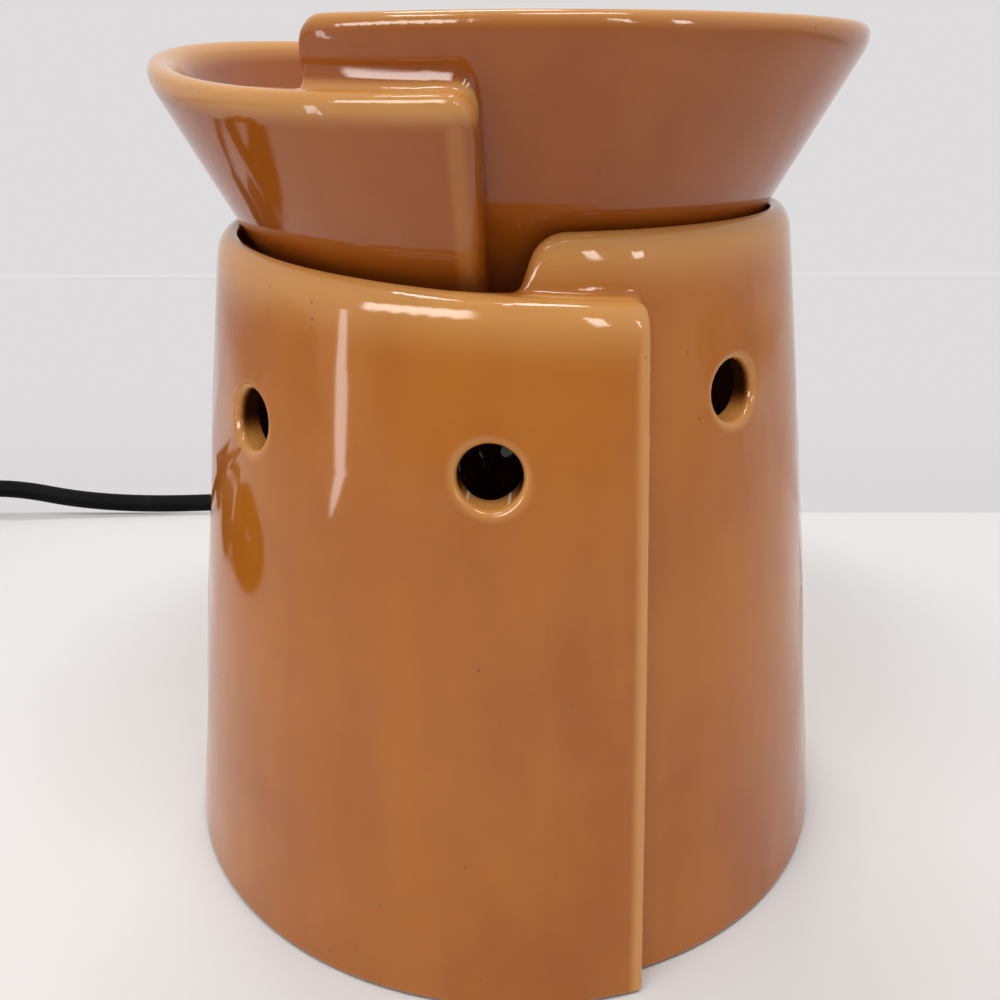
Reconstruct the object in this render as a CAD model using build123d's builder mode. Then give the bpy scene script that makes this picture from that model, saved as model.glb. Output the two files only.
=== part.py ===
"""Electric wax melt warmer: a rolled-sheet ceramic body, a lift-off dish, a lamp inside and its cord.

Millimetres, +Z up. The origin is on the table, on the body's axis. The front is towards -Y.
"""
import os
from dataclasses import dataclass
from math import cos, pi, radians, sin, sqrt, tan
from typing import Callable

from build123d import *

# Body: a tapered wall rolled from one sheet, whose outer end shows as a seam
BASE_RADIUS = 66.6  # mean outside radius at the table
SLOPE_FOOT = 0.114  # inward slope of the wall at the foot
SLOPE_RIM = 0.148  # and near the rim
STRAIGHT_RUN = 9.4  # the wall is straight over this height below the rim, and curves further down
BODY_STEP = 4.0  # radius lost in one turn of the sheet
BODY_SEAM = 19.35  # azimuth of the seam at the foot, degrees to the right of the front
SEAM_LEAN = radians(2.95) * 55 / 120  # sideways lean of the seam
BODY_RIM_LOW = 113.4  # rim height at the sheet's outer end
BODY_RIM_RISE = 9.25  # climb of the rim over one turn
BODY_WALL_FOOT = 5.5
BODY_WALL_RIM = 3.5
FOOT_ROUND = 1.0

# Inside the body: the dish's shelf, the floor flange and the openings
SEAT_DEPTH = 3.4  # the shelf below the low end of the rim
SHELF_THICK = 5.0
SHELF_LIP = 1.0  # the shelf reaches this far inside the dish's foot ring
SEAT_TRIM = 4.1  # the shelf is ground flat this far past the dish's foot
FLANGE_UNDER = 5.0
FLANGE_THICK = 5.0
FLANGE_WIDTH = 20.6  # from the mean outside radius
TRIM = 0.4  # left on the cast faces that are ground flat
VENT_COUNT = 8
VENT_RADIUS = 4.8
VENT_LIP = 1.2
VENT_BELOW_RIM = 25.0
VENT_AZIMUTH = -3.0  # of the front hole, degrees

# Dish: an inverted cone rolled the same way
DISH_SET_IN = 26.2  # mean outside radius on the shelf, inside that of the body's foot
DISH_FLARE = 0.536  # outward slope
DISH_STEP = 7.0
DISH_SEAM = -4.3
DISH_DEPTH = 30.9  # from the shelf to the low end of its rim
DISH_RIM_RISE = 9.1
DISH_WALL = 5.2
DISH_BOTTOM = 5.5  # thickness of its floor
DISH_RING = 9.4  # width of its foot ring, from the mean outside radius
DISH_FLOOR_DIP = 0.8  # fall of the floor to its middle
DISH_FOOT_RECESS = 1.2
BOWL_CORNER = 9.0  # height of the curve between the floor and the wall

# Base plate, feet and the crossbar that clamps them to the flange
FOOT_LIFT = 0.6  # the feet hold the ceramic this far off the table
PLATE_THICK = 1.2
PLATE_SET_IN = 10.1  # inside the foot's mean radius
PAD_COUNT = 4
PAD_RADIUS = 6.0
PAD_SET_IN = 10.5  # centres inside the plate's edge
PAD_ROUND = 0.8
BAR_BEARING = 9.0  # length of each end on the flange
BAR_WIDTH = 16.0
BAR_THICK = 1.6
BAR_CORNER = 4.0
CLAMP_SET_IN = 8.0  # screws inside the flange's opening
SCREW_RADIUS = 2.0
SCREW_HEAD_RADIUS = 4.0
SCREW_HEAD = 2.0
SCREW_PAST = 2.4  # thread past the crossbar
SLOT_WIDTH = 1.0
SLOT_DEPTH = 0.9
CLEARANCE = 0.15  # round a screw or a pin

# Lamp holder
NIPPLE_RADIUS = 5.0
NIPPLE_BORE = 3.0
NUT_ACROSS = 14.0
NUT_THICK = 3.0
NIPPLE_PAST = 1.0
HOLDER_RADIUS = 13.5
HOLDER_HEIGHT = 33.0
HOLDER_FLOOR = 6.4
HOLDER_BORE = 10.6
HOLDER_ROUND = 1.2
SHELL_RADIUS = 7.3  # inside radius of the screw shell
SHELL_THICK = 0.5
SHELL_ABOVE_FLOOR = 9.0
SHELL_LENGTH = 17.0
SHELL_FLANGE = 1.0
CONTACT_WIDTH = 5.0
CONTACT_LENGTH = 18.0
CONTACT_THICK = 0.8
CONTACT_POST = 2.4
TERMINAL_UP = 5.0  # terminals above the holder's floor
TERMINAL_RADIUS = 1.5
TERMINAL_HEAD_RADIUS = 3.0
TERMINAL_HEAD = 2.0
TERMINAL_REACH = 4.6

# Bulb
TIP_GAP = 0.3
TIP_RADIUS = 2.4
TIP_HEIGHT = 0.8
INSULATOR_HEIGHT = 2.4
CAP_RADIUS = 6.9
CAP_LENGTH = 15.0
THREAD_PITCH = 2.8
THREAD_DEPTH = 0.5
CAP_COLLAR = 8.0
COLLAR_HEIGHT = 3.0
GLOBE_RADIUS = 22.5
GLASS_THICK = 0.8
NECK_RADIUS = 7.6
BULB_LENGTH = 71.0
STEM_RADIUS = 3.0
STEM_FLARE = 5.6
STEM_HEIGHT = 13.0
WIRE_RADIUS = 0.45
FILAMENT_SPAN = 13.0
FILAMENT_UP = 17.0  # above the stem's top
FILAMENT_RADIUS = 0.35

# Cord, its strain relief and the leads inside
CORD = 6.0
EXIT_HEIGHT = 18.0
RELIEF_LENGTH = 26.0
RELIEF_NECK = 5.3
RELIEF_FLANGE = 7.5
RELIEF_FLANGE_THICK = 2.0
RELIEF_ROOT = 5.6
RELIEF_TIP_WALL = 1.0
RELIEF_RIBS = 5
RELIEF_RIB = 0.5
RELIEF_OUT_GAP = 1.0  # the flat flanges stand off the curved wall
RELIEF_IN_GAP = 1.5
HOLE_CLEARANCE = 0.2
TAIL_LENGTH = 9.0
LEAD_RADIUS = 1.1
LEAD_SPREAD = 1.7

# In-line switch, lying across the cord's run
SWITCH_X = -218.0
SWITCH_BEHIND = 70.4  # behind the body's mean foot radius
SWITCH_LENGTH = 56.0
SWITCH_WIDTH = 22.0
SWITCH_HEIGHT = 19.0
SWITCH_ROUND = 3.0
WHEEL_RADIUS = 9.5
WHEEL_THICK = 5.0
WHEEL_UP = 2.5  # axle above the joint between the halves
WHEEL_GAP = 0.4
GRIP_COUNT = 24
GRIP_RADIUS = 0.6
AXLE_RADIUS = 1.5
AXLE_LENGTH = 16.0
AXLE_FIT = 0.05
CASE_SCREW_SPACING = 40.0
CASE_SCREW_RADIUS = 1.3
CASE_SCREW_HEAD = 2.6
CASE_SCREW_HEAD_HIGH = 1.6
CASE_SCREW_SUNK = 1.0
CASE_SCREW_LENGTH = 11.0

# Coil of the spare cord, its tie and the plug
COIL_X = -250.0
COIL_Y = 32.0
COIL_LIFT = 0.7  # the tie passes under the turns
COIL_RADIUS = 44.0
COIL_GAP = 0.5  # between turns
COIL_HALF_TURNS = 6  # in each of the two layers
COIL_SAMPLES = 24
TIE_WIDTH = 9.0
TIE_THICK = 0.6
TIE_ROUND = 3.0
TIE_GAP = 0.1
END_RUN = 16.0  # straight cord between the coil and the plug
PLUG_WIDTH = 26.0
PLUG_LENGTH = 28.0
PLUG_ROUND = 3.0
PLUG_SLEEVE = 16.0
PLUG_SLEEVE_ROOT = 5.5
PLUG_SLEEVE_TIP = 4.0
BLADE_SPACING = 12.7
BLADE_WIDTH = 6.4
BLADE_THICK = 1.5
BLADE_LENGTH = 17.0
BLADE_SET = 6.0  # held inside the plug

CIRCLE_HANDLE = 0.5523  # handle length of a quarter circle as a cubic curve
STRAIGHT_FROM = BODY_RIM_LOW - STRAIGHT_RUN
SEAT_HEIGHT = BODY_RIM_LOW - SEAT_DEPTH
FLANGE_RADIUS = BASE_RADIUS - FLANGE_WIDTH
DISH_FOOT_RADIUS = BASE_RADIUS - DISH_SET_IN
DISH_RIM_LOW = SEAT_HEIGHT + DISH_DEPTH
DISH_FLOOR = SEAT_HEIGHT + DISH_BOTTOM
DISH_FLOOR_RADIUS = DISH_FOOT_RADIUS - DISH_RING
SHELF_RADIUS = DISH_FLOOR_RADIUS - SHELF_LIP
SEAT_TRIM_RADIUS = DISH_FOOT_RADIUS + SEAT_TRIM
PLATE_RADIUS = BASE_RADIUS - PLATE_SET_IN
PAD_CIRCLE = PLATE_RADIUS - PAD_SET_IN
BAR_LENGTH = 2 * (FLANGE_RADIUS + BAR_BEARING)
CLAMP_SPACING = 2 * (FLANGE_RADIUS - CLAMP_SET_IN)
RELIEF_TIP = CORD / 2 + RELIEF_TIP_WALL
SWITCH_Y = BASE_RADIUS + SWITCH_BEHIND
COIL_PITCH = CORD + COIL_GAP
PLATE_UNDER = FLANGE_UNDER - PLATE_THICK
BAR_UNDER = FLANGE_UNDER + FLANGE_THICK
BAR_TOP = BAR_UNDER + BAR_THICK
HOLDER_TOP = BAR_TOP + HOLDER_HEIGHT
HOLDER_INSIDE = BAR_TOP + HOLDER_FLOOR
SHELL_BOTTOM = HOLDER_INSIDE + SHELL_ABOVE_FLOOR
CONTACT_TOP = SHELL_BOTTOM - SHELL_FLANGE
TIP_BOTTOM = CONTACT_TOP + TIP_GAP
CAP_BOTTOM = TIP_BOTTOM + TIP_HEIGHT + INSULATOR_HEIGHT
COLLAR_BOTTOM = CAP_BOTTOM + CAP_LENGTH
COLLAR_TOP = COLLAR_BOTTOM + COLLAR_HEIGHT
BULB_TOP = TIP_BOTTOM + BULB_LENGTH
GLOBE_MIDDLE = BULB_TOP - GLOBE_RADIUS
STEM_TOP = COLLAR_TOP + STEM_HEIGHT
TERMINAL_HEIGHT = HOLDER_INSIDE + TERMINAL_UP
SWITCH_JOINT = SWITCH_HEIGHT / 2
WHEEL_HEIGHT = SWITCH_JOINT + WHEEL_UP
COIL_LOW = CORD / 2 + COIL_LIFT
COIL_HIGH = COIL_LOW + COIL_PITCH

os.makedirs("parts", exist_ok=True)


def keep(piece, name):
    """Label a finished piece and write it under its node's name."""
    piece.part.label = name
    export_step(piece.part, f"parts/{name}.step")


def ease(share):
    share = max(0.0, min(1.0, share))
    return share**3 * (share * (6 * share - 15) + 10)


def between(start, end, share):
    return tuple(a + (b - a) * share for a, b in zip(start, end))


def spread(low, high, count):
    return [low + (high - low) * i / count for i in range(count + 1)]


def straight(start, end):
    return [start, between(start, end, 1 / 3), between(start, end, 2 / 3), end]


def rounded(start, corner, end):
    return [start, between(start, corner, CIRCLE_HANDLE), between(end, corner, CIRCLE_HANDLE), end]


# The rolled ceramic sheet


@dataclass
class RolledSheet:
    """A wall rolled from one sheet. A turn runs from 0 at the outer end to 1 on the layer under it.

    Past one turn the raised inner layer runs on behind the ledge, then drops to it in a rounded end.
    """

    mid_radius: Callable  # outside radius at a height, halfway through the turn
    step: float
    seam: float
    lean: float
    join_lean: float  # lean of the section where the ledge ends, which keeps it clear of the vents
    foot: float
    rim_low: float
    rim_rise: float
    rim_power: float  # how early in the turn the rim climbs
    rim_bend: float  # 1 where it climbs at once, more where it starts out level
    rim_round: float
    rim_drop: float  # height of the rim's outer rounding
    rim_edge: float  # rounding of the rim's inner edge
    ledge_round: float  # hollow between the ledge and the raised layer
    wall_foot: float
    wall_rim: float
    raised_run: float  # length of the raised layer past the seam
    end_crest: float  # radius at the top of its end
    end_hollow: float  # radius at the foot of its end
    end_slant: float
    fade_run: float  # where the wall inside is single again
    girth: float  # length of one turn at the rim

    def section_lean(self, turn):
        join = self.near_turns()[-1]
        share = turn / join if turn < join else (1 - turn) / (1 - join)
        return self.lean + (self.join_lean - self.lean) * share

    def plane(self, turn):
        lean = self.section_lean(turn)
        swing = (self.lean - lean) * self.rim_low / self.mid_radius(self.rim_low)
        angle = radians(self.seam - 360 * turn) + swing
        outwards = Vector(sin(angle), -cos(angle), 0)
        upwards = Vector(lean * cos(angle), lean * sin(angle), 1)
        return Plane(origin=(0, 0, 0), x_dir=outwards, z_dir=outwards.cross(upwards))

    def turn_at(self, azimuth, z):
        """The turn that shows on the outside at an azimuth and a height."""
        lean_angle = self.lean * z / self.mid_radius(z) * 180 / pi
        return ((self.seam + lean_angle - azimuth) % 360) / 360

    def rim(self, turn):
        return self.rim_low + self.rim_rise * (1 - (1 - turn**self.rim_bend) ** self.rim_power)

    def outer(self, z, turn):
        return self.mid_radius(z) + self.step * (0.5 - turn)

    def wall(self, z):
        share = (z - self.foot) / (self.rim_low - self.foot)
        return self.wall_foot + (self.wall_rim - self.wall_foot) * share

    def end_runs(self, height):
        """Lengths from the start of the raised end to its slope, its foot and the ledge."""
        fall = 1 - cos(self.end_slant)
        slope = self.end_crest * sin(self.end_slant)
        foot = slope + (height - (self.end_crest + self.end_hollow) * fall) / tan(self.end_slant)
        return slope, foot, foot + self.end_hollow * sin(self.end_slant)

    def raised(self, past, height):
        """Height of the raised layer above the ledge at a length past the start of its end."""
        slope, foot, ledge = self.end_runs(height)
        if past <= 0:
            return height
        if past < slope:
            return height - self.end_crest + sqrt(self.end_crest**2 - past**2)
        if past < foot:
            fall = self.end_crest * (1 - cos(self.end_slant)) + (past - slope) * tan(self.end_slant)
            return height - fall
        if past < ledge:
            return self.end_hollow - sqrt(self.end_hollow**2 - (ledge - past) ** 2)
        return 0.0

    def near_turns(self):
        """Places of the sections from the seam to the end of the raised layer."""
        height = self.rim_low + self.rim_rise - self.rim(self.raised_run / self.girth)
        ledge = self.raised_run + self.end_runs(height)[2]
        nose = [self.rim_round * (1 - cos(pi / 2 * i / 7)) for i in range(8)]
        along = nose + spread(self.rim_round, self.raised_run, 4)[1:] + spread(self.raised_run, ledge, 18)[1:]
        return [length / self.girth for length in along]

    def far_turns(self):
        """Places of the sections round the rest of the wall."""
        start = self.near_turns()[-1]
        single = self.fade_run / self.girth
        return spread(start, single, 6) + spread(single, 1, 44)[1:]

    def profile(self, turn, near, wall_side, inside):
        """Cubic curves round the wall's section: up the outside, over the rim, down the inside."""
        along = turn * self.girth
        pull = 0.0
        if along < self.rim_round:
            pull = self.rim_round - sqrt(self.rim_round**2 - (self.rim_round - along) ** 2)
        under_layer = self.step * (1 - ease((along - self.raised_run) / (self.fade_run - self.raised_run)))
        ledge = self.rim(turn)
        top = ledge - pull

        def out(z):
            return self.outer(z, turn) - pull

        def inner(z):
            return self.outer(z, turn) - self.wall(z) - under_layer

        edge = min(0.9 * self.rim_round, 0.5 * (self.step - pull)) if near else self.rim_round
        brow = (out(top) - edge, top)
        shoulder = top - self.rim_drop
        curves = wall_side(out, shoulder)
        curves.append(rounded((out(shoulder), shoulder), (out(top), top), brow))
        crown = top
        if near:
            crown = ledge + self.raised(along - self.raised_run, self.rim_low + self.rim_rise - ledge)
            climb, brow_curves = self.ledge_curves(turn, pull, brow, crown, inner)
            curves += brow_curves
            brow = climb
        lip = (inner(crown) + self.rim_edge, crown)
        throat = (inner(crown - self.rim_edge), crown - self.rim_edge)
        curves.append(straight(brow, lip))
        curves.append(rounded(lip, (inner(crown), crown), throat))
        return curves + inside(inner, throat, curves[0][0])

    def ledge_curves(self, turn, pull, brow, crown, inner):
        """The ledge, the hollow and the raised layer's face, up to its crown."""
        top = brow[1]
        rise = crown - top
        spare = self.outer(crown, turn) - self.step - inner(crown) - self.rim_edge
        hollow = (min(self.ledge_round, 0.4 * (self.step - pull)), min(self.ledge_round, 0.45 * rise))
        crest = (min(self.rim_round, 0.9 * spare), min(self.rim_drop, 0.45 * rise))
        slack = 0.15 * max(0.0, 1 - rise / 3)  # keeps the face's edge a real length where it runs out

        def face(z):
            return self.outer(z, turn) - self.step

        low = (face(top) + hollow[0], top)
        face_low = (face(top + hollow[1]) + slack, top + hollow[1])
        face_high = (face(crown - crest[1]) - slack / 3, crown - crest[1])
        high = (face(crown) - crest[0] - slack / 8, crown)
        curves = [
            straight(brow, low),
            rounded(low, (face_low[0], top), face_low),
            straight(face_low, face_high),
            rounded(face_high, (face(crown) - slack / 4, crown), high),
        ]
        return high, curves

    def sections(self, near, wall_side, inside):
        faces = []
        for turn in self.near_turns() if near else self.far_turns():
            plane = self.plane(turn)
            lean = self.section_lean(turn)
            stretch = sqrt(1 + lean**2)
            edges = []
            for curve in self.profile(turn, near, wall_side, inside):
                places = [(sqrt(r**2 - (lean * z) ** 2), z * stretch) for r, z in curve]
                edges.append(Edge.make_bezier(*[plane.from_local_coords(place) for place in places]))
            faces.append(Face(Wire(edges)))
        return faces


def chain(points):
    return [straight(start, end) for start, end in zip(points, points[1:])]


# Body shell


def body_radius(z):
    curved = min(z, STRAIGHT_FROM)
    bend = (SLOPE_RIM - SLOPE_FOOT) * curved**2 / (2 * STRAIGHT_FROM)
    return BASE_RADIUS - SLOPE_FOOT * curved - bend - SLOPE_RIM * max(0.0, z - STRAIGHT_FROM)


body_sheet = RolledSheet(
    mid_radius=body_radius,
    step=BODY_STEP,
    seam=BODY_SEAM,
    lean=SEAM_LEAN,
    join_lean=-0.08,
    foot=FOOT_LIFT - TRIM,
    rim_low=BODY_RIM_LOW,
    rim_rise=BODY_RIM_RISE,
    rim_power=2.76,
    rim_bend=1.0,
    rim_round=2.2,
    rim_drop=4.0,
    rim_edge=1.0,
    ledge_round=1.6,
    wall_foot=BODY_WALL_FOOT,
    wall_rim=BODY_WALL_RIM,
    raised_run=10.4,
    end_crest=6.0,
    end_hollow=2.4,
    end_slant=radians(65),
    fade_run=30.0,
    girth=2 * pi * body_radius(BODY_RIM_LOW),
)


def body_side(out, top):
    foot = body_sheet.foot
    start = foot + FOOT_ROUND
    third = (STRAIGHT_FROM - start) / 3
    slope = SLOPE_FOOT + (SLOPE_RIM - SLOPE_FOOT) * start / STRAIGHT_FROM
    return [
        rounded((out(foot) - FOOT_ROUND, foot), (out(foot), foot), (out(start), start)),
        [
            (out(start), start),
            (out(start) - slope * third, start + third),
            (out(STRAIGHT_FROM) + SLOPE_RIM * third, STRAIGHT_FROM - third),
            (out(STRAIGHT_FROM), STRAIGHT_FROM),
        ],
        straight((out(STRAIGHT_FROM), STRAIGHT_FROM), (out(top), top)),
    ]


def body_inside(inner, throat, start):
    seat = SEAT_HEIGHT + TRIM
    shelf = SEAT_HEIGHT - SHELF_THICK
    floor = FLANGE_UNDER + FLANGE_THICK
    recess = FLANGE_UNDER - TRIM
    foot = body_sheet.foot
    return chain(
        [
            throat,
            (inner(seat), seat),
            (SHELF_RADIUS, seat),
            (SHELF_RADIUS, shelf),
            (inner(shelf), shelf),
            (inner(floor), floor),
            (FLANGE_RADIUS, floor),
            (FLANGE_RADIUS, recess),
            (inner(recess), recess),
            (inner(foot), foot),
            start,
        ]
    )


def azimuth_direction(azimuth):
    return Vector(sin(radians(azimuth)), -cos(radians(azimuth)), 0)


def on_vent_lip(edge):
    """Whether an edge lies round the outside of a vent."""
    for middle, outwards, least in vent_axes:
        places = [edge @ share - middle for share in (0.0, 0.3, 0.7, 1.0)]
        along = [place.dot(outwards) for place in places]
        across = [(place - outwards * reach).length for place, reach in zip(places, along)]
        if min(along) > least and max(abs(radius - VENT_RADIUS) for radius in across) < 0.01:
            return True
    return False


BACK = 180.0
back_turn = body_sheet.turn_at(BACK, EXIT_HEIGHT)
BACK_OUT = body_sheet.outer(EXIT_HEIGHT, back_turn)
BACK_IN = BACK_OUT - body_sheet.wall(EXIT_HEIGHT)
vent_axes = []
far_wall = body_sheet.sections(False, body_side, body_inside)
near_wall = body_sheet.sections(True, body_side, body_inside)

with BuildPart() as body_shell:
    loft(far_wall, clean=False)
    loft(near_wall, clean=False)
    with BuildSketch(Plane.XY.offset(SEAT_HEIGHT)):
        Circle(SEAT_TRIM_RADIUS)
    extrude(amount=BODY_RIM_LOW - SEAT_HEIGHT, mode=Mode.SUBTRACT, clean=False)
    with BuildSketch(Plane.XY.offset(FLANGE_UNDER)):
        Circle(PLATE_RADIUS + 1)
    extrude(amount=-FLANGE_UNDER, mode=Mode.SUBTRACT, clean=False)
    with BuildSketch(Plane.XY.offset(FOOT_LIFT)):
        Circle(BASE_RADIUS + BODY_STEP)
    extrude(amount=-FOOT_LIFT, mode=Mode.SUBTRACT, clean=False)
    for vent in range(VENT_COUNT):
        azimuth = VENT_AZIMUTH + 360 * vent / VENT_COUNT
        turn = body_sheet.turn_at(azimuth, BODY_RIM_LOW)
        height = body_sheet.rim(turn) - VENT_BELOW_RIM
        outwards = azimuth_direction(azimuth)
        with BuildSketch(Plane(origin=outwards * SHELF_RADIUS + Vector(0, 0, height), z_dir=outwards)):
            Circle(VENT_RADIUS)
        extrude(amount=BASE_RADIUS - SHELF_RADIUS, mode=Mode.SUBTRACT, clean=False)
        least = body_sheet.outer(height, turn) - BODY_WALL_RIM / 2
        vent_axes.append((Vector(0, 0, height), outwards, least))
    with BuildSketch(Plane.XZ.offset(-BACK_OUT - VENT_LIP)):
        with Locations((0, EXIT_HEIGHT)):
            Circle(RELIEF_NECK + HOLE_CLEARANCE)
    extrude(amount=BACK_OUT - FLANGE_RADIUS, mode=Mode.SUBTRACT, clean=False)
    fillet([edge for edge in body_shell.edges() if on_vent_lip(edge)], VENT_LIP)
keep(body_shell, "body_shell")


# Dish


def dish_radius(z):
    return DISH_FOOT_RADIUS + DISH_FLARE * (z - SEAT_HEIGHT)


dish_sheet = RolledSheet(
    mid_radius=dish_radius,
    step=DISH_STEP,
    seam=DISH_SEAM,
    lean=0.0,
    join_lean=0.0,
    foot=SEAT_HEIGHT - TRIM,
    rim_low=DISH_RIM_LOW,
    rim_rise=DISH_RIM_RISE,
    rim_power=90.0,
    rim_bend=3.0,
    rim_round=3.2,
    rim_drop=4.5,
    rim_edge=1.6,
    ledge_round=3.0,
    wall_foot=DISH_WALL,
    wall_rim=DISH_WALL,
    raised_run=21.0,
    end_crest=4.0,
    end_hollow=2.4,
    end_slant=radians(80),
    fade_run=36.0,
    girth=2 * pi * dish_radius(DISH_RIM_LOW),
)


def dish_side(out, top):
    foot = dish_sheet.foot
    start = foot + FOOT_ROUND
    return [
        rounded((out(foot) - FOOT_ROUND, foot), (out(foot), foot), (out(start), start)),
        straight((out(start), start), (out(top), top)),
    ]


def dish_inside(inner, throat, start):
    wall_foot = (inner(DISH_FLOOR + BOWL_CORNER), DISH_FLOOR + BOWL_CORNER)
    floor_edge = (DISH_FLOOR_RADIUS, DISH_FLOOR)
    return [
        straight(throat, wall_foot),
        rounded(wall_foot, (inner(DISH_FLOOR), DISH_FLOOR), floor_edge),
        straight(floor_edge, (DISH_FLOOR_RADIUS, dish_sheet.foot)),
        straight((DISH_FLOOR_RADIUS, dish_sheet.foot), start),
    ]


DISH_LAP = 2.0  # the floor disc reaches this far into the wall
far_wall = dish_sheet.sections(False, dish_side, dish_inside)
near_wall = dish_sheet.sections(True, dish_side, dish_inside)

with BuildPart() as dish:
    loft(far_wall, clean=False)
    loft(near_wall, clean=False)
    with BuildSketch(Plane.XZ) as floor_half:
        with BuildLine():
            Polyline(
                (0, SEAT_HEIGHT + DISH_FOOT_RECESS),
                (DISH_FLOOR_RADIUS + DISH_LAP, SEAT_HEIGHT + DISH_FOOT_RECESS),
                (DISH_FLOOR_RADIUS + DISH_LAP, DISH_FLOOR - TRIM / 4),
                (0, DISH_FLOOR - DISH_FLOOR_DIP),
                close=True,
            )
        make_face()
    revolve(axis=Axis.Z, clean=False)
    with BuildSketch(Plane.XY.offset(SEAT_HEIGHT)):
        Circle(DISH_FOOT_RADIUS + DISH_STEP)
    extrude(amount=-2 * TRIM, mode=Mode.SUBTRACT, clean=False)
keep(dish, "dish")


# Base plate, feet and crossbar

with BuildPart() as base_plate:
    with BuildSketch(Plane.XY.offset(PLATE_UNDER)):
        Circle(PLATE_RADIUS)
        with GridLocations(CLAMP_SPACING, 0, 2, 1):
            Circle(SCREW_RADIUS + CLEARANCE, mode=Mode.SUBTRACT)
    extrude(amount=PLATE_THICK)
keep(base_plate, "base_plate")

with BuildPart() as rubber_feet:
    with BuildSketch():
        with PolarLocations(PAD_CIRCLE, PAD_COUNT, start_angle=45):
            Circle(PAD_RADIUS)
    extrude(amount=PLATE_UNDER)
    fillet(rubber_feet.edges().group_by(Axis.Z)[0], PAD_ROUND)
keep(rubber_feet, "rubber_feet")

with BuildPart() as crossbar:
    with BuildSketch(Plane.XY.offset(BAR_UNDER)):
        RectangleRounded(BAR_LENGTH, BAR_WIDTH, BAR_CORNER)
        Circle(NIPPLE_RADIUS + CLEARANCE, mode=Mode.SUBTRACT)
        with GridLocations(CLAMP_SPACING, 0, 2, 1):
            Circle(SCREW_RADIUS + CLEARANCE, mode=Mode.SUBTRACT)
    extrude(amount=BAR_THICK)
keep(crossbar, "crossbar")

with BuildPart() as clamp_screws:
    with BuildSketch(Plane.XY.offset(PLATE_UNDER)):
        with GridLocations(CLAMP_SPACING, 0, 2, 1):
            Circle(SCREW_HEAD_RADIUS)
    extrude(amount=-SCREW_HEAD)
    with BuildSketch(Plane.XY.offset(PLATE_UNDER)):
        with GridLocations(CLAMP_SPACING, 0, 2, 1):
            Circle(SCREW_RADIUS)
    extrude(amount=BAR_TOP + SCREW_PAST - PLATE_UNDER)
    with BuildSketch(Plane.XY.offset(PLATE_UNDER - SCREW_HEAD)):
        with GridLocations(CLAMP_SPACING, 0, 2, 1):
            Rectangle(2 * SCREW_HEAD_RADIUS, SLOT_WIDTH)
    extrude(amount=SLOT_DEPTH, mode=Mode.SUBTRACT)
keep(clamp_screws, "clamp_screws")


# Lamp holder

NIPPLE_BOTTOM = BAR_UNDER - NUT_THICK - NIPPLE_PAST
with BuildPart() as nipple:
    with BuildSketch(Plane.XY.offset(NIPPLE_BOTTOM)):
        Circle(NIPPLE_RADIUS)
        Circle(NIPPLE_BORE, mode=Mode.SUBTRACT)
    extrude(amount=HOLDER_INSIDE - NIPPLE_PAST - NIPPLE_BOTTOM)
keep(nipple, "threaded_nipple")

with BuildPart() as nipple_nut:
    with BuildSketch(Plane.XY.offset(BAR_UNDER - NUT_THICK)):
        RegularPolygon(NUT_ACROSS / 2, 6, major_radius=False)
        Circle(NIPPLE_RADIUS + CLEARANCE, mode=Mode.SUBTRACT)
    extrude(amount=NUT_THICK)
keep(nipple_nut, "nipple_nut")

with BuildPart() as lamp_holder:
    with BuildSketch(Plane.XY.offset(BAR_TOP)):
        Circle(HOLDER_RADIUS)
    extrude(amount=HOLDER_HEIGHT)
    with BuildSketch(Plane.XY.offset(HOLDER_INSIDE)):
        Circle(HOLDER_BORE)
    extrude(amount=HOLDER_HEIGHT, mode=Mode.SUBTRACT)
    with BuildSketch(Plane.XY.offset(BAR_TOP)):
        Circle(NIPPLE_RADIUS + CLEARANCE)
    extrude(amount=HOLDER_FLOOR, mode=Mode.SUBTRACT)
    with BuildSketch(Plane.YZ.offset(-HOLDER_RADIUS)):
        with Locations((0, TERMINAL_HEIGHT)):
            Circle(TERMINAL_RADIUS + CLEARANCE)
    extrude(amount=2 * HOLDER_RADIUS, mode=Mode.SUBTRACT)
    fillet(lamp_holder.edges().group_by(Axis.Z)[-1].sort_by(SortBy.LENGTH)[-1], HOLDER_ROUND)
keep(lamp_holder, "lamp_holder")

with BuildPart() as screw_shell:
    with BuildSketch(Plane.XZ):
        with BuildLine():
            Polyline(
                (SHELL_RADIUS, SHELL_BOTTOM - SHELL_FLANGE),
                (HOLDER_BORE - CLEARANCE, SHELL_BOTTOM - SHELL_FLANGE),
                (HOLDER_BORE - CLEARANCE, SHELL_BOTTOM),
                (SHELL_RADIUS + SHELL_THICK, SHELL_BOTTOM),
                (SHELL_RADIUS + SHELL_THICK, SHELL_BOTTOM + SHELL_LENGTH),
                (SHELL_RADIUS, SHELL_BOTTOM + SHELL_LENGTH),
                close=True,
            )
        make_face()
    revolve(axis=Axis.Z)
keep(screw_shell, "screw_shell")

with BuildPart() as centre_contact:
    with BuildSketch(Plane.XY.offset(HOLDER_INSIDE)):
        RectangleRounded(CONTACT_LENGTH, CONTACT_WIDTH, 1)
    extrude(amount=CONTACT_THICK)
    with BuildSketch(Plane.XY.offset(HOLDER_INSIDE)):
        Circle(CONTACT_POST)
    extrude(amount=CONTACT_TOP - HOLDER_INSIDE)
keep(centre_contact, "centre_contact")

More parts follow.
